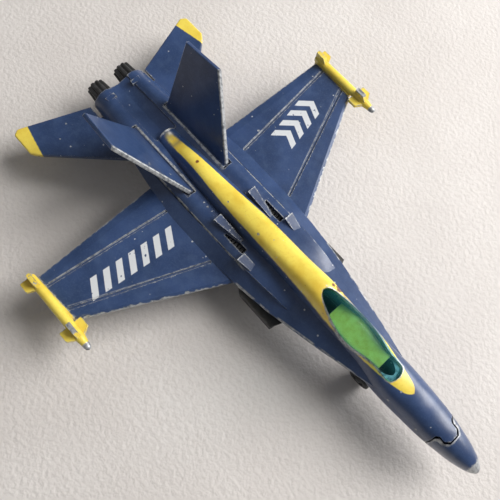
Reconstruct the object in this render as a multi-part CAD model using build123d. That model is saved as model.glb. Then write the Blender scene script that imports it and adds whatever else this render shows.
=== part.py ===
"""Die-cast toy jet: a painted zinc upper shell, a separate nose shell and a black plastic belly.

Own frame: +X forward, +Y to the left wing, +Z up. The origin is under the middle of the airplane,
on the floor that its wheels stand on. Millimetres.

The shapes are drawn in a design frame whose origin is the nose tip, level with the upper face of
the wing, so that "station -60" is 60 mm behind the nose tip. place() moves them to the own frame.
"""
from build123d import *
from math import cos, sin, pi, radians, atan2, degrees, hypot
import os

# ---- overall ---------------------------------------------------------------------------------
LENGTH = 126.2            # nose tip to the rounded trailing corners of the tailplanes
WING_HEIGHT = 12.0        # floor to the upper face of the wing
WALL = 1.2                # thickness of the castings
CAVITY_TOP = -0.2         # ceiling of the hollow under the engine deck
SEAM_Z = -1.9             # level at which the upper shell meets the pieces below it
JOIN_GAP = 0.15           # free gap round pieces that drop into a slot

# ---- nose --------------------------------------------------------------------------------------
NOSE_CURVE = 26.0         # length over which the nose swells to its full section
NOSE_HALF_WIDTH = 4.72
NOSE_TOP = 5.6            # top of the fuselage where the windshield starts
NOSE_BOTTOM = -5.2
NOSE_TIP_Z = -0.7
SEAM_X = -11.8            # front edge of the upper shell beside the tongue
TONGUE_X = -8.9           # front end of the tongue
TONGUE_WIDTH = 3.7
TONGUE_CORNER = 0.9
SEAM_GROOVE = 0.32        # open line between upper shell and nose

# ---- wing --------------------------------------------------------------------------------------
WING_THICK = 1.5
WING_ROOT_Y = 8.0
WING_ROOT_LE = -61.8
WING_ROOT_TE = -93.2
WING_TIP_Y = 42.3
WING_TIP_LE = -80.1
WING_TIP_TE = -92.6
HINGE_GROOVE = 0.55       # width of the cast hinge lines
HINGE_DEPTH = 0.3
TIP_LINE = [(-70, 40.8), (-96, 42.2)]      # slanted end of the wing, seen from above

# ---- fins --------------------------------------------------------------------------------------
FIN_THICK = 1.0
FIN_ROOT_Y = 5.6
FIN_ROOT_Z = 3.3
FIN_FRONT_X = -85.0
FIN_REAR_X = -106.2
FIN_TIP_FRONT_X = -96.9
FIN_TIP_REAR_X = -107.4
FIN_PANEL = 18.4          # from the deck to the tip, along the fin
FIN_CANT = 28.0           # outward lean in degrees
FIN_TAB = 2.6             # length of the foot inside the shell
FIN_GAP = 0.45            # open line between the fin and its slot
FIN_FOOT_TOP = -0.9       # the thick foot starts this far under the deck

# ---- tailplanes ---------------------------------------------------------------------------------
TAIL_THICK = 1.3
TAIL_Z = -1.95            # upper face
TAIL_ROOT_Y = 5.2
TAIL_TIP_Y = 26.3
TAIL_CORNER_X = -126.3    # trailing corner before it is rounded
TAIL_TONGUE = (-104.0, -115.9)   # stations between which the root runs into the body

# ---- engines ------------------------------------------------------------------------------------
NACELLE_Y = 3.9
NACELLE_Z = -1.95
NACELLE_END_X = -119.4
NOZZLE_END_X = -123.7
NOZZLE_PETALS = 10

# ---- cockpit --------------------------------------------------------------------------------------
CANOPY_REAR_X = -48.3
CANOPY_FRONT_X = -24.9
CANOPY_HALF_WIDTH = 3.2
CANOPY_WALL = 0.5
CANOPY_SEAT_Z = 4.4       # lower end of the opening in the casting
DECK_REAR_X = -43.9       # raised cockpit floor seen through the canopy
DECK_FRONT_X = -29.1
DECK_Z = 5.5

# ---- undercarriage ---------------------------------------------------------------------------------
AXLE_RADIUS = 0.6
AXLE_CLEARANCE = 0.08     # radial running clearance in the legs
NOSE_WHEEL_X = -29.3
NOSE_WHEEL_RADIUS = 2.75
NOSE_WHEEL_WIDTH = 1.4
NOSE_TRACK = 6.6          # between the middles of the wheels
MAIN_WHEEL_X = -72.0
MAIN_WHEEL_RADIUS = 3.4
MAIN_WHEEL_WIDTH = 2.0
MAIN_TRACK = 19.4

# ---- tip missiles ------------------------------------------------------------------------------------
MISSILE_Y = 42.9
MISSILE_Z = 0.6
MISSILE_RADIUS = 1.1
MISSILE_NOSE_X = -72.6
MISSILE_TAIL_X = -93.3
MISSILE_SPAN = 2.7        # axis to fin edge

DOWN = -20.0              # far enough below for every cut
UP = 40.0


def place(shape):
    """Move a shape from the design frame to the airplane's own frame."""
    return Pos(LENGTH / 2, 0, WING_HEIGHT) * shape


def both_sides(shape):
    """A left-hand shape together with its mirror image."""
    return shape + mirror(shape, about=Plane.XZ)


def ease(t):
    """Quarter ellipse from 0 at t=0 to 1 at t=1: blunt start, level finish."""
    t = min(max(t, 0.0), 1.0)
    return (1 - (1 - t) ** 2) ** 0.5


def station(x, outline):
    """Put a sketch drawn as (y, z) into the cross plane at station x."""
    return Plane.YZ.offset(x) * outline


def prism(points, z_low, z_high):
    """Upright prism over a plan outline of (x, y) points."""
    outline = make_face(Polyline(*points, close=True))
    return extrude(Pos(0, 0, z_low) * outline, z_high - z_low, dir=(0, 0, 1))


def block(x_low, x_high, half_width, z_low, z_high):
    """Box centred on the middle plane."""
    return prism([(x_low, -half_width), (x_high, -half_width), (x_high, half_width),
                  (x_low, half_width)], z_low, z_high)


# ---------------------------------------------------------------------------------------------------
# Outer body
# ---------------------------------------------------------------------------------------------------
def oval(half_width, z_side, z_top, z_bottom, power):
    """Closed section: a superellipse above z_side and an ordinary half ellipse below it."""
    steps = 6
    upper = []
    lower = []
    for i in range(2 * steps + 1):
        a = pi * i / (2 * steps)
        side = 1 if cos(a) >= 0 else -1
        upper.append((side * half_width * abs(cos(a)) ** (2 / power),
                      z_side + (z_top - z_side) * sin(a) ** (2 / power)))
        lower.append((-half_width * cos(a), z_side - (z_side - z_bottom) * sin(a)))
    upper[0] = lower[-1] = (half_width, z_side)
    upper[-1] = lower[0] = (-half_width, z_side)
    return make_face(Spline(*upper) + Spline(*lower))


def nose_section(x, inset=0.0):
    """Section of the nose at a station, by the quarter-ellipse growth of the nose."""
    grow = ease(-x / NOSE_CURVE)
    middle = NOSE_TIP_Z + 0.3 * grow
    return station(x, oval(NOSE_HALF_WIDTH * grow - inset, middle,
                           NOSE_TIP_Z + (NOSE_TOP - NOSE_TIP_Z) * grow - inset,
                           NOSE_TIP_Z + (NOSE_BOTTOM - NOSE_TIP_Z) * grow + inset, 2.0 + 0.5 * grow))


# Fuselage crown behind the nose: station, half width, top and how square the section is.
CROWN = [(-32, 4.3, 7.6, 2.6), (-38, 4.0, 9.0, 3.0), (-45, 3.9, 9.7, 3.2), (-53, 3.8, 9.8, 3.2),
         (-62, 3.7, 9.0, 3.2), (-72, 3.7, 7.3, 3.1), (-82, 3.6, 5.9, 2.7), (-92, 3.3, 4.9, 2.3),
         (-100.5, 2.8, 4.0, 2.2)]


def crown_section(x, half_width, top, power, inset=0.0):
    return station(x, oval(half_width - inset, SEAM_Z + 1.0, top - inset, -5.2 + inset, power))


def fuselage(inset=0.0):
    """Nose, cockpit and spine as one flowing body."""
    nose_stations = [-0.4, -1.5, -3.5, -6.5, -10.5, -15.5, -21, -26]
    if inset:
        nose_stations = [-4, -6.5, -10.5, -15.5, -21, -26]
    sections = [nose_section(x, inset) for x in nose_stations]
    sections += [crown_section(*row, inset) for row in CROWN]
    if not inset:
        sections.insert(0, Vertex(0, 0, NOSE_TIP_Z))
    return loft(sections)


# Deck over the engines: station, then (y, z) of the valley, the panel step, the crown of the hump,
# its shoulder and its outer edge.
DECK = [
    (-50, (0, 4.4), (3.0, 4.5), (4.7, 3.85), (6.0, 3.15), (7.0, 2.5)),
    (-66, (0, 3.6), (3.0, 3.7), (5.4, 3.7), (7.0, 3.5), (8.1, 3.1)),
    (-76, (0, 2.2), (3.0, 2.7), (5.5, 3.3), (7.1, 3.0), (8.2, 2.4)),
    (-88, (0, 1.5), (3.0, 2.3), (5.4, 3.3), (7.1, 3.0), (8.2, 2.2)),
    (-100, (0, 1.3), (2.9, 2.4), (5.0, 3.1), (7.0, 2.6), (8.2, 1.2)),
    (-110, (0, 1.1), (2.9, 2.1), (4.5, 2.6), (6.9, 1.5), (8.0, -0.6)),
    (NACELLE_END_X, (0, 0.8), (2.7, 1.5), (3.8, 1.7), (6.3, 0.5), (7.3, SEAM_Z + 0.4)),
]


def deck(lower_by=0.0):
    """Solid under the engine deck: two humps with a valley between them."""
    sections = []
    for x, *half in DECK:
        port = [(y, z - lower_by) for y, z in half]
        starboard = [(-y, z) for y, z in port]
        edge_y, edge_z = port[-1]
        crease = Spline(*port) + Spline(*starboard)
        sides = Polyline((edge_y, edge_z), (edge_y, SEAM_Z), (-edge_y, SEAM_Z), (-edge_y, edge_z))
        sections.append(station(x, make_face(crease + sides)))
    return loft(sections)


# Strakes and wing roots: station, then (y, z) of the inner end, the bend and the outer edge.
STRAKE = [
    (-27, (3.0, 3.2), (3.9, 2.6), (4.5, 2.0)),
    (-33, (3.2, 4.4), (4.6, 3.3), (5.9, 2.1)),
    (-42, (3.3, 4.8), (5.6, 3.3), (7.9, 1.6)),
    (-54, (3.4, 4.6), (6.8, 3.0), (10.2, 0.9)),
    (-62, (3.5, 4.2), (8.0, 2.8), (11.2, 0.4)),
    (-70, (3.5, 2.9), (8.5, 2.4), (11.8, 0.0)),
    (-84, (3.5, 1.2), (8.6, 1.7), (11.9, 0.0)),
    (-94, (3.5, 1.2), (8.6, 1.5), (10.8, 0.0)),
    (-106, (3.5, 1.2), (8.2, -0.4), (8.9, -0.8)),
]
STRAKE_EDGE = 1.1


def strake():
    """Leading-edge strakes that widen into the wing roots."""
    sections = []
    for x, inner, bend, edge in STRAKE:
        under = [(edge[0], edge[1] - STRAKE_EDGE), (bend[0] - 0.6, min(edge[1] - STRAKE_EDGE, SEAM_Z)),
                 (inner[0], SEAM_Z)]
        port = [inner, bend, edge] + under
        starboard = [(-y, z) for y, z in reversed(port)]
        sections.append(station(x, make_face(Polyline(*port, *starboard, close=True))))
    return loft(sections, ruled=True)


def wing_line_x(y, root_x, tip_x):
    """Station at span y on a straight line between root and tip."""
    return root_x + (tip_x - root_x) * (y - WING_ROOT_Y) / (WING_TIP_Y - WING_ROOT_Y)


def wing_section(y, thick):
    """Flat-topped section with bevelled leading and trailing edges, drawn at span y."""
    lead = wing_line_x(y, WING_ROOT_LE, WING_TIP_LE)
    trail = wing_line_x(y, WING_ROOT_TE, WING_TIP_TE)
    nose = [(lead - 0.1, -0.32 * thick), (lead - 0.1, -0.68 * thick)]
    tail = [(trail, -0.72 * thick), (trail, -0.22 * thick)]
    below = [(lead - 1.2, -thick), (trail + 2.0, -thick)]
    above = [(trail + 2.0, 0), (lead - 0.9, 0)]
    outline = make_face(Polyline(*nose, *below, *tail, *above, close=True))
    return Plane((0, y, 0), x_dir=(1, 0, 0), z_dir=(0, -1, 0)) * outline


def wing():
    """One wing with its two cast hinge lines."""
    blade = loft([wing_section(WING_ROOT_Y, 1.8), wing_section(WING_TIP_Y, WING_THICK)], ruled=True)
    flap_line = [(-86.2, 11.7), (-89.8, WING_TIP_Y + 1)]
    slat_line = [(-70.4, 11.9), (-83.4, WING_TIP_Y + 1)]
    for (x1, y1), (x2, y2) in (flap_line, slat_line):
        length = hypot(x2 - x1, y2 - y1)
        groove = Pos(length / 2, 0, 0) * Box(length, HINGE_GROOVE, 2 * HINGE_DEPTH)
        blade -= Pos(x1, y1, 0) * Rot(0, 0, degrees(atan2(y2 - y1, x2 - x1))) * groove
    return blade


def wedge(footprint, aft_z, front_z):
    """Raised louvre over a plan footprint, its top sloping down from the aft end to the front."""
    xs = [x for x, _ in footprint]
    low_z = front_z - 2
    profile = make_face(Polyline((min(xs), low_z), (max(xs), low_z), (max(xs), front_z),
                                 (min(xs), aft_z), close=True))
    ramp = extrude(Plane.XZ * profile, 30, both=True)
    return ramp & prism(footprint, low_z, UP)


INNER_WEDGE = [(-76.1, 4.0), (-76.1, 6.05), (-68.7, 4.75), (-68.6, 4.0)]
OUTER_WEDGE = [(-65.9, 6.0), (-65.9, 8.15), (-62.3, 7.5), (-62.2, 5.8)]
VENT = [(-72.2, 5.75), (-72.4, 6.25), (-66.4, 6.25), (-66.3, 4.9), (-68.6, 4.9)]
HATCH = [(-117.3, 2.5), (-117.3, 4.95), (-116.1, 4.75), (-116.1, 2.4)]


def fin_frame():
    """Plane of the left fin: x along the airplane, y up along the panel."""
    lean = radians(FIN_CANT)
    return Plane((0, FIN_ROOT_Y, FIN_ROOT_Z), x_dir=(1, 0, 0), z_dir=(0, -cos(lean), sin(lean)))


def fin(margin=0.0):
    """Left fin with its foot; a margin turns it into the cutter for its slot."""
    blade = [(FIN_FRONT_X, 0), (FIN_TIP_FRONT_X, FIN_PANEL), (FIN_TIP_REAR_X, FIN_PANEL - 0.9),
             (FIN_REAR_X, 0)]
    foot = [(FIN_REAR_X, -FIN_TAB), (FIN_FRONT_X - 0.5, -FIN_TAB)]
    outline = make_face(Polyline(*blade, *foot, close=True))
    if margin:
        slot = make_face(Polyline((FIN_FRONT_X + margin, -FIN_TAB), (FIN_FRONT_X + margin, 3),
                                  (FIN_REAR_X - margin, 3), (FIN_REAR_X - margin, -FIN_TAB), close=True))
        return extrude(fin_frame() * slot, FIN_THICK / 2 + margin, both=True)
    return extrude(fin_frame() * outline, FIN_THICK / 2, both=True)


def tongue_region(grow=0.0):
    """Everything that belongs to the upper shell: behind the seam, plus the tongue."""
    half = TONGUE_WIDTH / 2 + grow
    front = TONGUE_X + grow
    back = SEAM_X + grow
    outline = [(-LENGTH - 5, -60), (back, -60), (back, -half - 0.6), (back + 0.6, -half),
               (front - TONGUE_CORNER, -half), (front, -half + TONGUE_CORNER),
               (front, half - TONGUE_CORNER), (front - TONGUE_CORNER, half), (back + 0.6, half),
               (back, half + 0.6), (back, 60), (-LENGTH - 5, 60)]
    return prism(outline, SEAM_Z, UP)


def canopy_plan(inset=0.0):
    """Pointed oval of the canopy, seen from above."""
    mid_x = -35.8
    half = CANOPY_HALF_WIDTH - inset
    rear = CANOPY_REAR_X + inset
    front = CANOPY_FRONT_X - inset
    outline = Spline((rear, 0), (rear + 2.4, 0.58 * half), (mid_x, half), (front - 2.8, 0.67 * half),
                     (front, 0), tangents=((0.25, 1), (0.1, -1)))
    return make_face(outline + mirror(outline, about=Plane.XZ))


def canopy_column(inset, z_low, z_high):
    return extrude(Pos(0, 0, z_low) * canopy_plan(inset), z_high - z_low, dir=(0, 0, 1))


RIVETS = [(-21.0, -3.0, -4.6), (-55.0, -3.6, -5.6), (-96.0, -3.6, -5.6)]   # station, post end, seat
RIVET_BORE = 0.75
RIVET_HEAD = 1.5
POST_RADIUS = 1.8


def post(x, z_low, z_high, radius=POST_RADIUS):
    """Upright round post at station x on the middle plane."""
    return extrude(Pos(x, 0, z_low) * Circle(radius), z_high - z_low, dir=(0, 0, 1))


def nozzle_axis(x_rear, x_front, radius):
    """Left-hand cylinder along the engine axis."""
    return extrude(Plane.YZ.offset(x_rear) * Pos(NACELLE_Y, NACELLE_Z) * Circle(radius),
                   x_front - x_rear, dir=(1, 0, 0))


NOZZLE_PLUG = 2.3         # radius of the part of the nozzle inside the nacelle
NOZZLE_PLUG_LENGTH = 3.0


def nozzle_bores():
    return both_sides(nozzle_axis(NACELLE_END_X - 1, NACELLE_END_X + NOZZLE_PLUG_LENGTH, NOZZLE_PLUG))


def upper_shell():
    """Painted casting: spine, engine deck, strakes and wings, open underneath."""
    outer = fuselage() + deck() + strake() + both_sides(wing())
    recess = block(NACELLE_END_X - 1, -100.5, 3.0, SEAM_Z, UP) - deck(0.3)
    outer -= recess
    louvres = wedge(INNER_WEDGE, 5.2, 3.8) + wedge(OUTER_WEDGE, 5.0, 3.7)
    outer += both_sides(louvres)
    outer += both_sides(prism(HATCH, 0, 2.05))
    solid = outer & tongue_region()
    shell = solid - fuselage(WALL) - block(-115.8, -57, 6.2, DOWN, CAVITY_TOP)
    for x, post_end, _ in RIVETS:
        shell += post(x, SEAM_Z, UP) & solid
        shell += post(x, post_end, SEAM_Z)
        shell -= post(x, post_end, post_end + 4.5, RIVET_BORE)
    shell -= both_sides(prism(VENT, DOWN, UP)) + both_sides(fin(FIN_GAP)) + nozzle_bores()
    beyond_tips = prism(TIP_LINE + [(TIP_LINE[1][0], 60), (TIP_LINE[0][0], 60)], DOWN, UP)
    return shell - both_sides(beyond_tips) - canopy_column(0.0, CANOPY_SEAT_Z, UP)


# ---------------------------------------------------------------------------------------------------
# Pieces below and inside the upper shell
# ---------------------------------------------------------------------------------------------------
NOSE_SHELL_END = -49.8


def nose_shell():
    """Painted casting: nose cone and the lower half of the front fuselage."""
    front = fuselage() & block(NOSE_SHELL_END, 1, 20, DOWN, UP)
    shell = front - tongue_region(SEAM_GROOVE) - fuselage(WALL)
    x, post_end, seat = RIVETS[0]
    shell += post(x, seat, post_end) & front
    shell -= post(x, DOWN, UP, RIVET_BORE) + post(x, DOWN, seat, RIVET_HEAD)
    return shell - post(NOSE_WHEEL_X, DOWN, UP, LEG_PLUG)


# Belly: station, half width, bottom.
KEEL = [(-50, 4.6, -5.7), (-58, 6.4, -6.4), (-70, 7.3, -6.8), (-90, 7.9, -6.6), (-108, 7.9, -6.1),
        (NACELLE_END_X, 7.3, -5.6)]
BELLY_WALL = 1.4


def keel_section(x, half_width, bottom):
    """Lower half of a superellipse, closed along the seam."""
    steps = 12
    power = 3.0
    points = []
    for i in range(steps + 1):
        a = pi * i / steps
        side = 1 if cos(a) >= 0 else -1
        points.append((side * half_width * abs(cos(a)) ** (2 / power),
                       SEAM_Z + (bottom - SEAM_Z) * abs(sin(a)) ** (2 / power)))
    points[0] = (half_width, SEAM_Z)
    points[-1] = (-half_width, SEAM_Z)
    return station(x, make_face(Spline(*points) + Line(points[-1], points[0])))


INTAKE_INNER_Y = 4.5
INTAKE_OUTER_Y = 11.7
INTAKE_BOTTOM = -7.5
INTAKE_LIP = 0.8


def intake_section(x, outer_y, bottom, inset=0.0):
    """D-shaped section, rounded on its outer side."""
    top = SEAM_Z - inset
    low = bottom + inset
    inner = INTAKE_INNER_Y + inset
    outer = outer_y - inset
    outline = make_face(Polyline((inner, top), (outer, top), (outer, low), (inner, low), close=True))
    outline = fillet(outline.vertices().group_by(Axis.X)[-1].sort_by(Axis.Y)[-1], 1.3 - 0.5 * inset)
    outline = fillet(outline.vertices().group_by(Axis.X)[-1].sort_by(Axis.Y)[0], 2.4 - 0.5 * inset)
    return station(x, outline)


def intake():
    """Left air intake with a raked, hollow mouth."""
    pod = loft([intake_section(-49.8, INTAKE_OUTER_Y, INTAKE_BOTTOM),
                intake_section(-61.0, INTAKE_OUTER_Y, INTAKE_BOTTOM + 0.2),
                intake_section(-68.2, 7.4, -6.3)], ruled=True)
    mouth = loft([intake_section(-49.8, INTAKE_OUTER_Y, INTAKE_BOTTOM, INTAKE_LIP),
                  intake_section(-55.5, INTAKE_OUTER_Y, INTAKE_BOTTOM, INTAKE_LIP + 0.4)], ruled=True)
    plan_rake = prism([(-49, 9.4), (-50.0, 9.4), (-51.4, 12.5), (-49, 12.5)], DOWN, 0)
    side_rake = make_face(Polyline((-49, SEAM_Z), (-49.9, SEAM_Z), (-52.2, INTAKE_BOTTOM - 1),
                                   (-49, INTAKE_BOTTOM - 1), close=True))
    return pod - mouth - plan_rake - extrude(Plane.XZ * side_rake, 20, both=True)


def vent_grille():
    """Ribbed plastic tongue that fills the vent from below."""
    inner = [(-72.0, 5.85), (-72.1, 6.1), (-66.6, 6.1), (-66.5, 5.05), (-68.6, 5.05)]
    bar = prism(inner, -6.0, 2.5)
    for i in range(6):
        bar -= block(-71.6 + 0.9 * i, -71.2 + 0.9 * i, 20, 1.9, UP)
    return bar


def belly_base():
    """Black plastic belly with the air intakes and the bearings for the undercarriage."""
    belly = loft([keel_section(*row) for row in KEEL])
    belly += both_sides(intake())
    belly -= block(-114.5, -58.5, 5.2, KEEL[2][2] + BELLY_WALL, UP)
    belly += both_sides(vent_grille())
    for x, post_end, seat in RIVETS[1:]:
        belly += post(x, seat - 0.2, post_end)
        belly -= post(x, post_end, UP) + post(x, DOWN, UP, RIVET_BORE)
        belly -= post(x, DOWN, seat, RIVET_HEAD)
    belly -= both_sides(tailplane_root(JOIN_GAP)) + nozzle_bores()
    return belly - both_sides(main_leg_plug())


def cockpit_tub():
    """Yellow cockpit floor on a stem that stands in the nose shell."""
    opening = canopy_column(0.15, CANOPY_SEAT_Z + 0.1, UP)
    floor = (fuselage(WALL + 0.1) + opening) & block(DECK_REAR_X, DECK_FRONT_X, 6, DECK_Z - 1.2, DECK_Z)
    stem = fuselage(WALL) & block(-42.5, -32.5, 1.4, DOWN, DECK_Z - 0.6)
    return floor + stem


# Canopy bubble: station, half width, top.
BUBBLE = [(-49.5, 3.4, 9.4), (-46, 3.4, 10.6), (-41, 3.5, 11.4), (-36, 3.55, 11.2), (-31, 3.35, 9.7),
          (-27, 2.8, 7.5), (-23.5, 1.5, 4.6)]
FLANGE = 0.6


def bubble(inset=0.0):
    return loft([station(x, oval(half_width - inset, 3.0, top - inset, 0.0, 2.0))
                 for x, half_width, top in BUBBLE])


def canopy():
    """Clear canopy: a bubble through the opening and a flange under the shell."""
    fit = 0.05
    cap = canopy_column(fit, CANOPY_SEAT_Z + 0.05, UP) & bubble()
    cap -= canopy_column(fit + CANOPY_WALL, 0, UP) & bubble(CANOPY_WALL)
    cap -= block(DECK_REAR_X - 0.3, DECK_FRONT_X + 0.3, 5, 0, DECK_Z + 0.1)
    under_shell = fuselage(WALL) - fuselage(WALL + FLANGE)
    ring = canopy_column(-FLANGE, DECK_Z + 0.1, UP) - canopy_column(fit + CANOPY_WALL, 0, UP)
    return cap + (ring & under_shell) - (fuselage() - fuselage(WALL) - canopy_column(0.0, 0, UP))


def fin_piece():
    """Left fin with rounded edges, on a thicker foot that fills its slot."""
    blade = fin()
    rim = [e for face in blade.faces().sort_by(SortBy.AREA)[-2:] for e in face.edges()]
    foot = make_face(Polyline((FIN_FRONT_X, -FIN_TAB), (FIN_FRONT_X, FIN_FOOT_TOP),
                              (FIN_REAR_X, FIN_FOOT_TOP), (FIN_REAR_X, -FIN_TAB), close=True))
    half_thick = FIN_THICK / 2 + FIN_GAP - 0.05
    return fillet(rim, 0.25) + extrude(fin_frame() * foot, half_thick, both=True)


TAIL_OUTLINE = [(-101.4, 8.3), (-117.6, 25.2), (-119.2, TAIL_TIP_Y), (-125.4, TAIL_TIP_Y),
                (TAIL_CORNER_X, 24.9), (-120.1, 8.3)]


def tailplane_root(margin=0.0):
    """Tongue of the left tailplane that is trapped between shell and belly."""
    front = TAIL_TONGUE[0] + margin
    rear = TAIL_TONGUE[1] - margin
    inner = TAIL_ROOT_Y - margin
    return prism([(front, inner), (front, 9), (rear, 9), (rear, inner)], TAIL_Z - TAIL_THICK, SEAM_Z)


def tailplane():
    """Left tailplane."""
    blade = prism(TAIL_OUTLINE, TAIL_Z - TAIL_THICK, TAIL_Z)
    corners = blade.edges().filter_by(Axis.Z).group_by(Axis.X)[0:2]
    blade = fillet([e for group in corners for e in group if e.center().Y > 20], 0.9)
    rim = [e for face in (blade.faces().sort_by(Axis.Z)[0], blade.faces().sort_by(Axis.Z)[-1])
           for e in face.edges() if e.center().Y > 8.4]
    blade = fillet(rim, 0.4)
    return blade + (tailplane_root() & block(-LENGTH, 0, 9, DOWN, TAIL_Z))


def nozzle():
    """Left engine nozzle: a ring of petals round a hollow cone."""
    length = NACELLE_END_X - NOZZLE_END_X
    rear = Plane.YZ.offset(NOZZLE_END_X) * Pos(NACELLE_Y, NACELLE_Z)
    front = Plane.YZ.offset(NACELLE_END_X) * Pos(NACELLE_Y, NACELLE_Z)
    cone = loft([rear * Circle(1.9), front * Circle(2.35)])
    for i in range(NOZZLE_PETALS):
        turn = Rot(0, 0, 360 / NOZZLE_PETALS * i)
        cone += loft([rear * turn * Pos(1.85, 0) * Circle(0.5), front * turn * Pos(2.15, 0) * Circle(0.6)])
    plug = nozzle_axis(NACELLE_END_X, NACELLE_END_X + NOZZLE_PLUG_LENGTH, NOZZLE_PLUG)
    return cone + plug - nozzle_axis(NOZZLE_END_X - 1, NOZZLE_END_X + length, 1.4)


def missile():
    """Left tip missile with its rail and seven fins."""
    body_front = MISSILE_NOSE_X - 3.6
    frame = Plane.YZ.offset(MISSILE_TAIL_X) * Pos(MISSILE_Y, MISSILE_Z)
    body = extrude(frame * Circle(MISSILE_RADIUS), body_front - MISSILE_TAIL_X, dir=(1, 0, 0))
    ogive = make_face(Spline((body_front, MISSILE_RADIUS), (body_front + 2, 0.84),
                             (MISSILE_NOSE_X, 0), tangents=((1, 0), (0.1, -1)))
                      + Polyline((MISSILE_NOSE_X, 0), (body_front, 0), (body_front, MISSILE_RADIUS)))
    body += Pos(0, MISSILE_Y, MISSILE_Z) * revolve(ogive, Axis.X)
    front_fin = [(-75.6, 0.6), (-76.9, MISSILE_SPAN), (-79.3, MISSILE_SPAN), (-79.3, 0.6)]
    tail_fin = [(-89.9, 0.6), (-90.9, MISSILE_SPAN), (MISSILE_TAIL_X, MISSILE_SPAN),
                (MISSILE_TAIL_X, 0.6)]
    for outline in (front_fin, tail_fin):
        blade = extrude(make_face(Polyline(*outline, close=True)), 0.5, both=True)
        for i in range(4):
            body += Pos(0, MISSILE_Y, MISSILE_Z) * Rot(90 * i, 0, 0) * blade
    rail = prism([(-92.4, 41.0), (-80.2, 40.0), (-80.2, MISSILE_Y), (-92.4, MISSILE_Y)], -1.1, 0.25)
    return body + rail - wing_tip_limit()


def wing_tip_limit():
    """Everything on the wing side of the slanted wing tip, level with the wing."""
    (x1, y1), (x2, y2) = TIP_LINE
    behind_edge = WING_TIP_LE + 0.1
    y_edge = y1 + (y2 - y1) * (behind_edge - x1) / (x2 - x1)
    return prism([(behind_edge, y_edge), (x2, y2), (x2, 20), (behind_edge, 20)], DOWN, UP)


# ---------------------------------------------------------------------------------------------------
# Undercarriage
# ---------------------------------------------------------------------------------------------------
LEG_PLUG = 1.0
MAIN_LEG_Y = 7.0
MAIN_LEG_WIDTH = 2.0
NOSE_AXLE_Z = NOSE_WHEEL_RADIUS - WING_HEIGHT
MAIN_AXLE_Z = MAIN_WHEEL_RADIUS - WING_HEIGHT


def cross_pin(x, y_low, y_high, z, radius):
    """Cylinder across the airplane."""
    circle = Plane((x, y_low, z), x_dir=(1, 0, 0), z_dir=(0, 1, 0)) * Circle(radius)
    return extrude(circle, y_high - y_low, dir=(0, 1, 0))


def leg(x, y_low, y_high, axle_z, top_z, fore_aft):
    """Upright leg with an eye for the axle."""
    middle = (y_low + y_high) / 2
    upright = Pos(x, middle, (axle_z + top_z) / 2) * Box(fore_aft, y_high - y_low, top_z - axle_z)
    eye = cross_pin(x, y_low, y_high, axle_z, 1.5)
    bore = cross_pin(x, y_low - 1, y_high + 1, axle_z, AXLE_RADIUS + AXLE_CLEARANCE)
    return upright + eye - bore


def nose_leg():
    return (leg(NOSE_WHEEL_X, -1.9, 1.9, NOSE_AXLE_Z, NOSE_BOTTOM - 0.05, 2.4)
            + post(NOSE_WHEEL_X, NOSE_BOTTOM - 0.4, NOSE_BOTTOM + 2.0, LEG_PLUG))


def main_leg_plug():
    return Pos(MAIN_WHEEL_X, MAIN_LEG_Y, -6.5) * Box(2.4, MAIN_LEG_WIDTH, 5.0)


def main_leg():
    """Left main leg, plugged into the belly."""
    return leg(MAIN_WHEEL_X, MAIN_LEG_Y - MAIN_LEG_WIDTH / 2, MAIN_LEG_Y + MAIN_LEG_WIDTH / 2,
               MAIN_AXLE_Z, -4.0, 2.4)


def wheel(x, track, z, radius, width):
    """Left wheel with rounded tread and a dished outer face."""
    y = track / 2
    tread = cross_pin(x, y - width / 2, y + width / 2, z, radius)
    tread = fillet(tread.edges(), 0.28 * width)
    dish = cross_pin(x, y + width / 2 - 0.3, y + width, z, 0.62 * radius)
    hub = cross_pin(x, y, y + width / 2 - 0.05, z, 0.3 * radius)
    return tread - dish + hub - cross_pin(x, 0, y + width, z, AXLE_RADIUS)


def axle(x, track, width, z):
    end = track / 2 + width / 2 + 0.15
    return cross_pin(x, -end, end, z, AXLE_RADIUS)


def rivets():
    """Three rivets, head down."""
    group = Part()
    for x, post_end, seat in RIVETS:
        head = post(x, seat - 0.5, seat, RIVET_HEAD)
        group += fillet(head.edges().sort_by(Axis.Z)[0], 0.4) + post(x, seat, post_end + 4.0, RIVET_BORE)
    return group


# ---------------------------------------------------------------------------------------------------
# Assembly
# ---------------------------------------------------------------------------------------------------
def pieces():
    """Every node by name, in the design frame."""
    nodes = {
        "upper_shell": upper_shell(),
        "nose_shell": nose_shell(),
        "belly_base": belly_base(),
        "cockpit_tub": cockpit_tub(),
        "canopy": canopy(),
        "nose_gear_leg": nose_leg(),
        "nose_axle": axle(NOSE_WHEEL_X, NOSE_TRACK, NOSE_WHEEL_WIDTH, NOSE_AXLE_Z),
        "main_axle": axle(MAIN_WHEEL_X, MAIN_TRACK, MAIN_WHEEL_WIDTH, MAIN_AXLE_Z),
        "rivets": rivets(),
    }
    handed = {
        "fin": fin_piece(),
        "tailplane": tailplane(),
        "nozzle": nozzle(),
        "tip_missile": missile(),
        "main_gear_leg": main_leg(),
        "nose_wheel": wheel(NOSE_WHEEL_X, NOSE_TRACK, NOSE_AXLE_Z, NOSE_WHEEL_RADIUS, NOSE_WHEEL_WIDTH),
        "main_wheel": wheel(MAIN_WHEEL_X, MAIN_TRACK, MAIN_AXLE_Z, MAIN_WHEEL_RADIUS, MAIN_WHEEL_WIDTH),
    }
    for name, left in handed.items():
        nodes[name + "_left"] = left
        nodes[name + "_right"] = mirror(left, about=Plane.XZ)
    return nodes


os.makedirs("parts", exist_ok=True)
for node, shape in pieces().items():
    export_step(place(shape), f"parts/{node}.step")
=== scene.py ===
"""Look of the die-cast toy jet: worn enamel, tinted canopy, plastic belly, floor, light and camera."""

import bpy
from mathutils import Matrix, Vector


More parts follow.
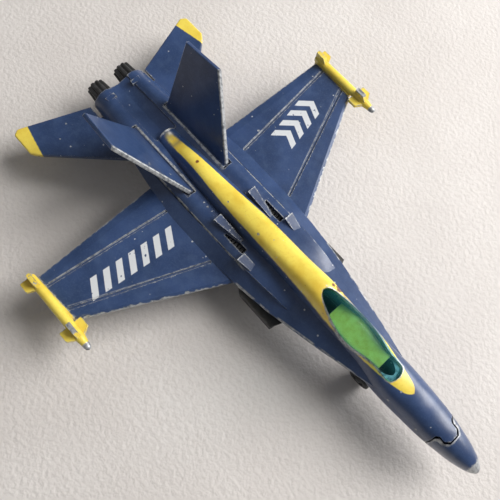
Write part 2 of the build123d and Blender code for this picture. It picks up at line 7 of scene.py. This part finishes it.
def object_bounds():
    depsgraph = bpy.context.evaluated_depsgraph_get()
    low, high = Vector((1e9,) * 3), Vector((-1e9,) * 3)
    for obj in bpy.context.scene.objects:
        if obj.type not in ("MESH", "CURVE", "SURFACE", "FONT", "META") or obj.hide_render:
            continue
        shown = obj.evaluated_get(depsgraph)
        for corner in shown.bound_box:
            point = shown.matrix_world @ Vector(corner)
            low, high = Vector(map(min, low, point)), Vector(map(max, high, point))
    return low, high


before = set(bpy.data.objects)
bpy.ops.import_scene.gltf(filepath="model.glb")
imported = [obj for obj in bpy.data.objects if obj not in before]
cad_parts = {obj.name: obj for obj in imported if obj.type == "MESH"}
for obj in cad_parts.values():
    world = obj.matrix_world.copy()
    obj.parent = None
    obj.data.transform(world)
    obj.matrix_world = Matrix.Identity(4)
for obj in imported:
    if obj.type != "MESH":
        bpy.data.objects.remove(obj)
cad_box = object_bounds()

MM = 0.001
NOSE_X = cad_box[1][0] / MM          # the nose tip, forward of the origin
WING_TOP = 12.0                      # upper face of the wing above the floor

# Colours, linear.
NAVY_DARK = (0.020, 0.044, 0.118)
NAVY_LIGHT = (0.036, 0.072, 0.185)
NAVY_FADED = (0.075, 0.125, 0.240)
YELLOW = (0.960, 0.780, 0.125)
YELLOW_DEEP = (0.820, 0.580, 0.060)
OCHRE = (0.330, 0.170, 0.030)
MARKING_WHITE = (0.700, 0.730, 0.760)
ZINC = (0.500, 0.520, 0.535)
ZINC_DARK = (0.170, 0.185, 0.205)
MID_GREY = (0.230, 0.235, 0.240)
SPECK_WHITE = (0.620, 0.640, 0.660)
RUST = (0.200, 0.075, 0.030)
BLACK = (0.016, 0.016, 0.016)
BLACK_WORN = (0.042, 0.043, 0.046)
STEEL = (0.480, 0.480, 0.490)
CANOPY_TINT = (0.690, 0.890, 0.925)
CANOPY_HAZE = (0.050, 0.280, 0.290)
ACRYLIC_IOR = 1.46
FLOOR = (0.780, 0.750, 0.725)
FLOOR_DARK = (0.690, 0.655, 0.630)


class Paint:
    """A procedural material.

    Positions are in millimetres from the nose tip: x is negative towards the tail, y points to the
    left wing, and z is zero on the upper face of the wing.
    """

    def __init__(self, name):
        self.material = bpy.data.materials.new(name)
        self.material.use_nodes = True
        self.tree = self.material.node_tree
        self.tree.nodes.clear()
        self.shader = self.node("ShaderNodeBsdfPrincipled")
        self.output = self.node("ShaderNodeOutputMaterial")
        self.join(self.shader.outputs[0], self.output.inputs["Surface"])
        coordinates = self.node("ShaderNodeTexCoord").outputs["Object"]
        millimetres = self.vector("SCALE", coordinates, scale=1 / MM)
        self.place = self.vector("SUBTRACT", millimetres, (NOSE_X, 0, WING_TOP))
        split = self.node("ShaderNodeSeparateXYZ")
        self.join(self.place, split.inputs[0])
        self.x, self.y, self.z = split.outputs
        self.side = self.math("ABSOLUTE", self.y)

    def node(self, kind, **settings):
        made = self.tree.nodes.new(kind)
        for key, value in settings.items():
            setattr(made, key, value)
        return made

    def join(self, source, socket):
        """Link a socket, or set a plain number, position or colour."""
        if isinstance(source, bpy.types.NodeSocket):
            self.tree.links.new(source, socket)
        elif isinstance(source, tuple) and socket.type == "RGBA":
            socket.default_value = (*source, 1)
        else:
            socket.default_value = source

    def math(self, operation, a, b=0.0):
        made = self.node("ShaderNodeMath", operation=operation)
        self.join(a, made.inputs[0])
        self.join(b, made.inputs[1])
        return made.outputs[0]

    def vector(self, operation, a, b=(0, 0, 0), scale=1.0):
        made = self.node("ShaderNodeVectorMath", operation=operation)
        self.join(a, made.inputs[0])
        self.join(b, made.inputs[1])
        made.inputs[3].default_value = scale
        return made.outputs[1 if operation == "DOT_PRODUCT" else 0]

    def step(self, value, edge, soft):
        """0 below the edge and 1 above it, with a soft border on each side."""
        made = self.node("ShaderNodeMapRange", interpolation_type="SMOOTHSTEP")
        self.join(value, made.inputs["Value"])
        made.inputs["From Min"].default_value = edge - soft
        made.inputs["From Max"].default_value = edge + soft
        return made.outputs["Result"]

    def below(self, value, edge, soft):
        return self.math("SUBTRACT", 1.0, self.step(value, edge, soft))

    def band(self, value, low, high, soft):
        return self.both(self.step(value, low, soft), self.below(value, high, soft))

    def both(self, *masks):
        product = masks[0]
        for mask in masks[1:]:
            product = self.math("MULTIPLY", product, mask)
        return product

    def either(self, *masks):
        most = masks[0]
        for mask in masks[1:]:
            most = self.math("MAXIMUM", most, mask)
        return most

    def noise(self, size, detail=3.0, shift=0.0):
        """Cloudy noise round 0.5 whose blobs are about size millimetres wide."""
        made = self.node("ShaderNodeTexNoise")
        self.join(self.vector("ADD", self.place, (shift, 2 * shift, -shift)), made.inputs["Vector"])
        made.inputs["Scale"].default_value = 1 / size
        made.inputs["Detail"].default_value = detail
        return made.outputs[0]

    def ragged(self, value, amount, size):
        """A distance whose level lines wander to and fro by amount."""
        wander = self.math("MULTIPLY", self.math("SUBTRACT", self.noise(size, 4.0), 0.5), 2 * amount)
        return self.math("ADD", value, wander)

    def specks(self, pitch, share, radius, shift=0.0):
        """Small irregular dots on a share of the cells of a loose pattern."""
        made = self.node("ShaderNodeTexVoronoi", feature="F1")
        self.join(self.vector("ADD", self.place, (shift, shift, shift)), made.inputs["Vector"])
        made.inputs["Scale"].default_value = 1 / pitch
        distance = self.math("MULTIPLY", made.outputs["Distance"], pitch)
        distance = self.ragged(distance, 0.5 * radius, radius)
        split = self.node("ShaderNodeSeparateXYZ")
        self.join(made.outputs["Color"], split.inputs[0])
        size = self.math("MULTIPLY", split.outputs[1], radius)
        inside = self.step(self.math("SUBTRACT", size, distance), 0.0, 0.03)
        return self.both(inside, self.step(split.outputs[0], 1 - share, 0.001))

    def mix(self, share, first, second):
        made = self.node("ShaderNodeMix", data_type="RGBA")
        self.join(share, made.inputs[0])
        self.join(first, made.inputs[6])
        self.join(second, made.inputs[7])
        return made.outputs[2]

    def value_mix(self, share, first, second):
        """A plain number that goes from first to second."""
        made = self.node("ShaderNodeMapRange")
        self.join(share, made.inputs["Value"])
        made.inputs["To Min"].default_value = first
        made.inputs["To Max"].default_value = second
        return made.outputs["Result"]

    def along_line(self, start, end):
        """Distance in front of the line from start to end in plan, the same on both wings."""
        direction = Vector((end[0] - start[0], end[1] - start[1])).normalized()
        normal = (direction.y, -direction.x, 0.0)
        mirrored = self.node("ShaderNodeCombineXYZ")
        self.join(self.x, mirrored.inputs[0])
        self.join(self.side, mirrored.inputs[1])
        offset = self.vector("SUBTRACT", mirrored.outputs[0], (start[0], start[1], 0))
        return self.vector("DOT_PRODUCT", offset, normal)

    def sharp_edges(self, reach):
        """High where a corner stands proud, within reach millimetres of it."""
        made = self.node("ShaderNodeAmbientOcclusion", samples=6, inside=True, only_local=True)
        made.inputs["Distance"].default_value = reach * MM
        return self.math("SUBTRACT", 1.0, made.outputs["AO"])

    def crevices(self, reach):
        """High in corners and gaps."""
        made = self.node("ShaderNodeAmbientOcclusion", samples=6)
        made.inputs["Distance"].default_value = reach * MM
        return self.math("SUBTRACT", 1.0, made.outputs["AO"])

    def relief(self, height, depth):
        """Surface relief: a height from 0 to 1 that stands for depth millimetres."""
        made = self.node("ShaderNodeBump")
        made.inputs["Distance"].default_value = depth * MM
        self.join(height, made.inputs["Height"])
        self.join(made.outputs["Normal"], self.shader.inputs["Normal"])

    def finish(self, colour, roughness, metallic=0.0, coat=0.0):
        self.join(colour, self.shader.inputs["Base Color"])
        self.join(roughness, self.shader.inputs["Roughness"])
        self.join(metallic, self.shader.inputs["Metallic"])
        self.shader.inputs["Coat Weight"].default_value = coat
        self.shader.inputs["Coat Roughness"].default_value = 0.3
        return self.material


# ---------------------------------------------------------------------------------------------------
# Painted and worn areas
# ---------------------------------------------------------------------------------------------------
# Lines in plan on the left wing, as (station, distance from the middle) of their two ends.
WING_FRONT = ((-79.5, 41.1), (-61.8, 8.0))
WING_REAR = ((-93.2, 8.0), (-92.6, 41.1))
STRAKE_FRONT = ((-54.0, 10.2), (-33.0, 6.0))
STRAKE_REAR = ((-66.0, 11.5), (-54.0, 10.2))
FLAP_HINGE = ((-89.8, 42.1), (-86.2, 11.7))
SLAT_HINGE = ((-83.4, 42.1), (-70.4, 11.9))
DECK_STEP_SIDE = 8.2                 # where the engine deck steps down to the wing root
SPINE_LOW = 2.6                      # lowest height of the spine's painted top
FIN_FOOT = 3.3                       # height of the fin roots
FIN_TOP_WORN = 19.75
FIN_SWEEP = 0.73                     # how far the fin's front edge falls back per millimetre of height
MISSILE_BARE = -74.1                 # station of the bare missile nose
NOSE_BARE = -2.3                     # station of the bare nose tip

# Spine stripe: station and half width.
STRIPE = [(-100.4, 0.0), (-99.6, 0.9), (-88, 1.55), (-70, 2.65), (-58, 2.95), (-40, 3.5), (-34, 3.27),
          (-28, 2.6), (-22.8, 1.6), (-21.3, 0.9), (-20.6, 0.0)]
STRIPE_WIDEST = 4.0


def stripe(paint):
    """Yellow stripe along the spine and round the cockpit, sprayed softly at its two ends."""
    rear, front = STRIPE[0][0], STRIPE[-1][0]
    station = paint.node("ShaderNodeMapRange")
    paint.join(paint.x, station.inputs["Value"])
    station.inputs["From Min"].default_value = rear
    station.inputs["From Max"].default_value = front
    curve = paint.node("ShaderNodeFloatCurve")
    paint.join(station.outputs["Result"], curve.inputs["Value"])
    points = curve.mapping.curves[0].points
    while len(points) < len(STRIPE):
        points.new(0.5, 0.5)
    for point, (x, half_width) in zip(points, STRIPE):
        point.location = ((x - rear) / (front - rear), half_width / STRIPE_WIDEST)
        point.handle_type = "AUTO_CLAMPED"
    curve.mapping.update()
    half_width = paint.math("MULTIPLY", curve.outputs["Value"], STRIPE_WIDEST)
    inside = paint.math("SUBTRACT", half_width, paint.side)
    crisp = paint.step(paint.ragged(inside, 0.12, 1.5), 0.0, 0.12)
    sprayed = paint.both(paint.step(paint.ragged(inside, 0.25, 0.6), 0.1, 0.45),
                         paint.step(paint.x, -99.2, 1.6))
    rear_end = paint.below(paint.x, -96.5, 1.5)
    edge = paint.either(paint.both(crisp, paint.math("SUBTRACT", 1.0, rear_end)),
                        paint.both(sprayed, rear_end))
    return paint.both(edge, paint.step(paint.z, SPINE_LOW, 0.3), paint.band(paint.x, rear, front, 0.3))


def marking_axes(paint, start, end):
    """Position along and across a marking whose middle line runs from start to end."""
    direction = Vector((end[0] - start[0], end[1] - start[1])).normalized()
    offset = paint.vector("SUBTRACT", paint.place, (start[0], start[1], 0))
    along = paint.vector("DOT_PRODUCT", offset, (direction.x, direction.y, 0))
    across = paint.vector("DOT_PRODUCT", offset, (direction.y, -direction.x, 0))
    return along, across


def slanted_bars(paint, start, end, half_height, slant, pitch, filled, pointed):
    """Row of white bars between two points: plain slanted bars, or chevrons if pointed."""
    along, across = marking_axes(paint, start, end)
    tilt = paint.math("ABSOLUTE", across) if pointed else across
    along = paint.math("ADD", along, paint.math("MULTIPLY", tilt, slant))
    length = (Vector(end) - Vector(start)).length
    turn = paint.math("FRACT", paint.math("DIVIDE", along, pitch))
    bars = paint.band(turn, 0.02, filled, 0.02)
    area = paint.both(paint.band(along, 0.0, length, 0.05),
                      paint.band(across, -half_height, half_height, 0.08))
    return paint.both(bars, area, paint.step(paint.z, -0.4, 0.1))


def wing_markings(paint):
    """Generic racing marks: chevrons on the left wing, slanted bars on the right."""
    chevrons = slanted_bars(paint, (-82.3, 22.0), (-85.2, 35.2), 3.1, 0.7, 3.4, 0.55, True)
    bars = slanted_bars(paint, (-80.7, -14.4), (-82.9, -36.6), 2.3, 0.45, 3.2, 0.52, False)
    marks = paint.either(chevrons, bars)
    rubbed = paint.step(paint.noise(1.2, 5.0, 7.0), 0.33, 0.04)
    return paint.both(marks, rubbed)


def dab(paint, x, y, radius):
    """Ragged round spot in plan."""
    offset = paint.vector("SUBTRACT", paint.place, (x, y, 0))
    flat = paint.vector("MULTIPLY", offset, (1, 1, 0))
    squared = paint.vector("DOT_PRODUCT", flat, flat)
    distance = paint.math("SQRT", squared)
    return paint.below(paint.ragged(distance, 0.6 * radius, 1.2 * radius), radius, 0.12)


def cockpit_chips(paint):
    """Brown chips beside the rear of the canopy and one on the spine."""
    spots = [(-46.2, 2.9, 0.75), (-44.6, 3.5, 0.55), (-47.6, 2.3, 0.4), (-89.0, 0.1, 0.4)]
    dabs = paint.either(*[dab(paint, *spot) for spot in spots])
    return paint.both(dabs, paint.step(paint.z, SPINE_LOW, 0.3))


def louvre_tops(paint):
    """Tops of the raised louvres, painted towards a mid grey."""
    inner = paint.both(paint.band(paint.x, -76.2, -68.6, 0.1), paint.band(paint.side, 4.2, 6.1, 0.1))
    outer = paint.both(paint.band(paint.x, -66.0, -62.2, 0.1), paint.band(paint.side, 5.8, 8.2, 0.1))
    return paint.both(paint.either(inner, outer), paint.step(paint.z, 3.95, 0.15))


def tailplane_tips(paint):
    """Yellow outer ends of the tailplanes."""
    slanted = paint.math("SUBTRACT", paint.side, paint.math("MULTIPLY", paint.x, 0.2))
    return paint.step(paint.ragged(slanted, 0.15, 1.0), 47.7, 0.12)


def wing_edge_wear(paint):
    """Paint rubbed off along the front and rear edges of the wings."""
    front = paint.along_line(*WING_FRONT)
    rear = paint.along_line(*WING_REAR)
    front = paint.step(paint.ragged(paint.math("MULTIPLY", front, -1.0), 0.75, 1.3), -0.25, 0.12)
    rear = paint.below(paint.ragged(rear, 0.4, 1.1), 0.1, 0.1)
    on_wing = paint.both(paint.band(paint.side, 13.0, 43.0, 0.8), paint.below(paint.z, 0.3, 0.1))
    return paint.both(paint.either(front, rear), on_wing)


def strake_edge_wear(paint):
    """Thin rubbed line along the edges of the strakes."""
    front = paint.below(paint.along_line(*STRAKE_FRONT), 0.22, 0.08)
    rear = paint.below(paint.along_line(*STRAKE_REAR), 0.22, 0.08)
    front = paint.both(front, paint.band(paint.x, -54.0, -30.0, 0.5))
    rear = paint.both(rear, paint.band(paint.x, -63.0, -54.0, 0.5))
    patchy = paint.step(paint.noise(2.4, 6.0, 31.0), 0.47, 0.05)
    return paint.both(paint.either(front, rear), patchy, paint.step(paint.side, 5.0, 0.5))


def hinge_line_highlight_and_wear(paint):
    """Painted highlight in bare-metal colour along one side of the cast hinge grooves, standing for
    their lit wall, with rubbed lips too; brightest along the flaps.
    """
    flap = paint.both(paint.band(paint.along_line(*FLAP_HINGE), 0.12, 0.42, 0.07), 0.8)
    slat = paint.both(paint.band(paint.along_line(*SLAT_HINGE), 0.14, 0.38, 0.07), 0.5)
    patchy = paint.value_mix(paint.step(paint.noise(2.0, 5.0, 21.0), 0.42, 0.1), 0.35, 1.0)
    on_wing = paint.both(paint.band(paint.side, 11.8, 41.0, 0.1), paint.band(paint.z, -0.4, 0.1, 0.05))
    return paint.both(paint.either(flap, slat), patchy, on_wing)


def deck_line_wear(paint):
    """Thin bare line along the step between engine deck and wing root."""
    from_step = paint.math("SUBTRACT", paint.side, DECK_STEP_SIDE)
    line = paint.band(paint.ragged(from_step, 0.1, 1.0), -0.16, 0.16, 0.06)
    length = paint.band(paint.x, -96.0, -64.0, 1.0)
    return paint.both(line, length, paint.step(paint.noise(1.8, 5.0, 23.0), 0.45, 0.06),
                      paint.step(paint.z, 0.5, 0.1))


def bare_nose(paint):
    """Rubbed nose tip."""
    return paint.step(paint.ragged(paint.x, 0.8, 1.2), NOSE_BARE, 0.25)


def missile_wear(paint):
    """Bare missile nose, rubbed upper fins and bare patches on top."""
    nose = paint.step(paint.ragged(paint.x, 0.3, 0.6), MISSILE_BARE, 0.12)
    upper_fin = paint.both(paint.step(paint.ragged(paint.z, 0.5, 0.8), 2.9, 0.1),
                           paint.step(paint.x, -80.0, 0.1))
    patches = paint.both(paint.step(paint.ragged(paint.z, 0.5, 0.9), 2.2, 0.2),
                         paint.step(paint.noise(0.9, 4.0, 33.0), 0.6, 0.05))
    return paint.either(nose, upper_fin, patches)


def fin_edge_wear(paint):
    """Paint rubbed off along the front edge and the top of the fins."""
    height = paint.math("SUBTRACT", paint.z, FIN_FOOT)
    sweep = paint.math("ADD", paint.x, paint.math("MULTIPLY", height, FIN_SWEEP))
    front = paint.step(paint.ragged(sweep, 0.35, 1.3), -85.35, 0.15)
    top = paint.step(paint.ragged(paint.z, 0.3, 1.1), FIN_TOP_WORN, 0.12)
    return paint.either(front, top)


# ---------------------------------------------------------------------------------------------------
# Materials
# ---------------------------------------------------------------------------------------------------
def yellow_coat(paint):
    """Yellow enamel with deeper patches and small ochre specks."""
    base = paint.mix(paint.step(paint.noise(5.0, 4.0, 3.0), 0.55, 0.2), YELLOW, YELLOW_DEEP)
    grime = paint.both(paint.step(paint.noise(0.5, 5.0, 9.0), 0.6, 0.08), 0.35)
    base = paint.mix(grime, base, YELLOW_DEEP)
    dots = paint.either(paint.specks(1.1, 0.22, 0.16, 4.0), paint.specks(2.3, 0.12, 0.3, 8.0))
    return paint.mix(paint.both(dots, 0.8), base, OCHRE)


def enamel(name, base=None, areas=(), whites=None, rubbed=None, browned=None, paler_tops=None,
           edge_reach=0.5, coated=0.3):
    """Old semi-gloss enamel over zinc: faded patches, dust, chips and bare edges.

    areas are masks painted yellow and whites is the mask of the white markings. rubbed holds masks of
    bare metal: real wear, and also a painted highlight along the hinge grooves. browned is the mask of
    rusty spots, and the mask after it marks tops painted towards a mid grey. edge_reach is how far,
    in millimetres, the paint is worn back from sharp edges.
    """
    paint = Paint(name)
    if base == "yellow":
        colour = yellow_coat(paint)
    else:
        colour = paint.mix(paint.step(paint.noise(9.0, 3.0), 0.5, 0.25), NAVY_DARK, NAVY_LIGHT)
        faded = paint.step(paint.noise(2.2, 6.0, 5.0), 0.6, 0.16)
        colour = paint.mix(paint.both(faded, 0.3), colour, NAVY_FADED)
        grainy = paint.step(paint.noise(0.35, 3.0, 2.0), 0.58, 0.1)
        colour = paint.mix(paint.both(grainy, 0.22), colour, NAVY_FADED)
    for area in areas:
        colour = paint.mix(area(paint), colour, yellow_coat(paint))
    if whites:
        colour = paint.mix(whites(paint), colour, MARKING_WHITE)
    # Tops of the raised louvres are painted towards a mid grey, in patches.
    if paler_tops:
        colour = paint.mix(paint.both(paler_tops(paint), paint.noise(0.5, 4.0, 27.0), 0.25), colour, MID_GREY)
    settled = paint.step(paint.crevices(2.0), 0.45, 0.35)
    patchy = paint.step(paint.noise(1.4, 5.0), 0.45, 0.2)
    colour = paint.mix(paint.both(settled, patchy, 0.4), colour, MID_GREY)

    edges = paint.sharp_edges(edge_reach)
    worn = paint.step(paint.ragged(edges, 0.42, 0.9), 0.4, 0.07)
    chips = paint.both(paint.specks(2.7, 0.25, 0.4, 1.0), 0.9)
    pits = paint.specks(1.5, 0.3, 0.22, 6.0)
    bare = paint.either(worn, chips)
    # rubbed brings in the painted highlight along the hinge grooves, so bare holds it as well as real
    # wear.
    if rubbed:
        bare = paint.either(bare, *[rub(paint) for rub in rubbed])
    metal = paint.mix(paint.step(paint.noise(0.8, 4.0, 11.0), 0.55, 0.15), ZINC, ZINC_DARK)
    colour = paint.mix(bare, colour, metal)
    colour = paint.mix(paint.both(pits, 0.75), colour, SPECK_WHITE)
    brown = paint.both(paint.specks(4.7, 0.12, 0.3, 12.0), 0.8)
    if browned:
        brown = paint.either(brown, browned(paint))
    colour = paint.mix(brown, colour, RUST)

    smudge = paint.noise(1.1, 4.0, 14.0)
    gloss = paint.value_mix(smudge, 0.24, 0.42)
    roughness = paint.mix(bare, gloss, paint.value_mix(smudge, 0.38, 0.6))
    orange_peel = paint.both(paint.noise(0.6, 3.0, 17.0), 0.35)
    paint.relief(paint.math("SUBTRACT", orange_peel, paint.both(bare, 0.6)), 0.05)
    return paint.finish(colour, roughness, paint.both(bare, 0.45), coat=coated)


def plastic(name, dark, light, roughness=0.45):
    """Moulded plastic with scuffed corners and dust in its gaps."""
    paint = Paint(name)
    colour = paint.mix(paint.step(paint.noise(1.2, 5.0), 0.5, 0.25), dark, light)
    scuffed = paint.step(paint.ragged(paint.sharp_edges(0.3), 0.3, 0.5), 0.45, 0.1)
    colour = paint.mix(paint.both(scuffed, 0.55), colour, MID_GREY)
    dust = paint.both(paint.step(paint.crevices(1.0), 0.5, 0.3), 0.35)
    colour = paint.mix(dust, colour, MID_GREY)
    paint.relief(paint.noise(0.25, 3.0, 3.0), 0.02)
    scuffing = paint.noise(0.7, 4.0, 6.0)
    return paint.finish(colour, paint.value_mix(scuffing, roughness - 0.1, roughness + 0.15))


def wire_steel(name):
    """Drawn wire: fine rings of brightness along its length."""
    paint = Paint(name)
    rings = paint.node("ShaderNodeTexNoise")
    paint.join(paint.vector("MULTIPLY", paint.place, (1.0, 9.0, 1.0)), rings.inputs["Vector"])
    colour = paint.mix(rings.outputs[0], STEEL, ZINC_DARK)
    paint.relief(rings.outputs[0], 0.01)
    return paint.finish(colour, paint.value_mix(rings.outputs[0], 0.25, 0.45), 1.0)


def tinted_clear(name):
    """Clear tinted plastic with fine scratches, glossy on its outer faces."""
    paint = Paint(name)
    scratches = paint.node("ShaderNodeTexNoise")
    paint.join(paint.vector("MULTIPLY", paint.place, (0.25, 3.5, 3.5)), scratches.inputs["Vector"])
    scratches.inputs["Detail"].default_value = 5.0
    paint.relief(scratches.outputs[0], 0.012)
    paint.finish(CANOPY_HAZE, paint.value_mix(scratches.outputs[0], 0.08, 0.22))
    clear = paint.node("ShaderNodeBsdfTransparent")
    paint.join(CANOPY_TINT, clear.inputs["Color"])
    gloss = paint.node("ShaderNodeFresnel")
    gloss.inputs["IOR"].default_value = ACRYLIC_IOR
    outside = paint.math("SUBTRACT", 1.0, paint.node("ShaderNodeNewGeometry").outputs["Backfacing"])
    share = paint.math("ADD", paint.both(gloss.outputs[0], outside, 0.9), 0.05)
    surface = paint.node("ShaderNodeMixShader")
    paint.join(share, surface.inputs[0])
    paint.join(clear.outputs[0], surface.inputs[1])
    paint.join(paint.shader.outputs[0], surface.inputs[2])
    paint.join(surface.outputs[0], paint.output.inputs["Surface"])
    return paint.material


def cloth_floor(name):
    """Pale matt floor with a faint weave."""
    paint = Paint(name)
    colour = paint.mix(paint.step(paint.noise(30.0, 4.0), 0.5, 0.3), FLOOR, FLOOR_DARK)
    mottled = paint.step(paint.noise(1.2, 6.0, 4.0), 0.55, 0.15)
    colour = paint.mix(paint.both(mottled, 0.4), colour, FLOOR_DARK)
    paint.relief(paint.noise(1.0, 6.0, 8.0), 0.25)
    return paint.finish(colour, 0.9)


def coat(material, *nodes):
    """Give CAD nodes a material."""
    for name in nodes:
        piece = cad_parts[name]
        piece.data.materials.clear()
        piece.data.materials.append(material)


def pair(name):
    return name + "_left", name + "_right"


# The upper shell also gets the painted highlight along its hinge grooves.
coat(enamel("body_enamel", areas=[stripe], whites=wing_markings,
            rubbed=[wing_edge_wear, strake_edge_wear, hinge_line_highlight_and_wear, deck_line_wear],
            browned=cockpit_chips, paler_tops=louvre_tops), "upper_shell")
coat(enamel("nose_enamel", rubbed=[bare_nose], edge_reach=0.7, coated=0.6), "nose_shell")
coat(enamel("fin_enamel", rubbed=[fin_edge_wear], edge_reach=0.35), *pair("fin"))
coat(enamel("tailplane_enamel", areas=[tailplane_tips]), *pair("tailplane"))
coat(enamel("missile_enamel", base="yellow", rubbed=[missile_wear], edge_reach=0.3),
     *pair("tip_missile"))
coat(plastic("belly_plastic", BLACK, BLACK_WORN), "belly_base", *pair("nozzle"))
coat(plastic("gear_plastic", BLACK, BLACK_WORN, 0.5), "nose_gear_leg", *pair("main_gear_leg"))
coat(plastic("wheel_plastic", BLACK, BLACK_WORN, 0.55), *pair("nose_wheel"), *pair("main_wheel"))
coat(plastic("tub_plastic", YELLOW, YELLOW_DEEP, 0.4), "cockpit_tub")
coat(wire_steel("wire"), "nose_axle", "main_axle", "rivets")
coat(tinted_clear("canopy_clear"), "canopy")

# ---------------------------------------------------------------------------------------------------
# Floor, light and camera
# ---------------------------------------------------------------------------------------------------
FLOOR_HALF = 1.5
corners = [(-FLOOR_HALF, -FLOOR_HALF, 0), (FLOOR_HALF, -FLOOR_HALF, 0), (FLOOR_HALF, FLOOR_HALF, 0),
           (-FLOOR_HALF, FLOOR_HALF, 0)]
floor_mesh = bpy.data.meshes.new("floor")
floor_mesh.from_pydata(corners, [], [(0, 1, 2, 3)])
floor = bpy.data.objects.new("floor", floor_mesh)
bpy.context.scene.collection.objects.link(floor)
floor_mesh.materials.append(cloth_floor("floor_cloth"))


def area_light(name, direction, distance, size, power, colour):
    """Square lamp that looks at the middle of the airplane."""
    lamp = bpy.data.lights.new(name, "AREA")
    lamp.size = size
    lamp.energy = power
    lamp.color = colour
    holder = bpy.data.objects.new(name, lamp)
    holder.location = Vector(direction).normalized() * distance
    holder.rotation_euler = Vector(direction).to_track_quat("Z", "Y").to_euler()
    bpy.context.scene.collection.objects.link(holder)


area_light("key", (0.40, 0.76, 0.84), 0.60, 0.38, 4.7, (1.0, 0.975, 0.95))
area_light("fill", (-0.6, -0.9, 1.2), 0.80, 0.60, 0.12, (0.95, 0.97, 1.0))
area_light("window", (0.42, 0.855, 0.29), 0.60, 0.26, 1.0, (0.97, 0.985, 1.0))

SKY = (1.0, 0.98, 0.96)
SKY_STRENGTH = 0.15
world = bpy.data.worlds.new("studio")
world.use_nodes = True
sky = world.node_tree.nodes["Background"]
sky.inputs["Color"].default_value = (*SKY, 1)
sky.inputs["Strength"].default_value = SKY_STRENGTH
bpy.context.scene.world = world
bpy.context.scene.view_settings.view_transform = "Standard"

# The camera looks down from the front right of the airplane.
CAMERA_PLACE = (-39.55, -30.96, 134.83)                # millimetres from the nose tip
CAMERA_RIGHT = (0.67926, 0.72966, 0.07878)
CAMERA_DOWN = (0.70428, -0.61789, -0.34958)
FOCAL_LENGTH = 44.47                                   # millimetres, like the sensor
SENSOR_WIDTH = 36.0
CAMERA_SHIFT = (-0.0807, -0.0991)
camera_data = bpy.data.cameras.new("camera")
camera_data.sensor_width = SENSOR_WIDTH
camera_data.lens = FOCAL_LENGTH
camera_data.shift_x, camera_data.shift_y = CAMERA_SHIFT
camera_data.clip_start = 0.01
camera = bpy.data.objects.new("camera", camera_data)
right = Vector(CAMERA_RIGHT)
up = -Vector(CAMERA_DOWN)
back = right.cross(up)
turn = Matrix((right, up, back)).transposed().to_4x4()
place = (Vector(CAMERA_PLACE) + Vector((NOSE_X, 0, WING_TOP))) * MM
camera.matrix_world = Matrix.Translation(place) @ turn
bpy.context.scene.collection.objects.link(camera)
bpy.context.scene.camera = camera
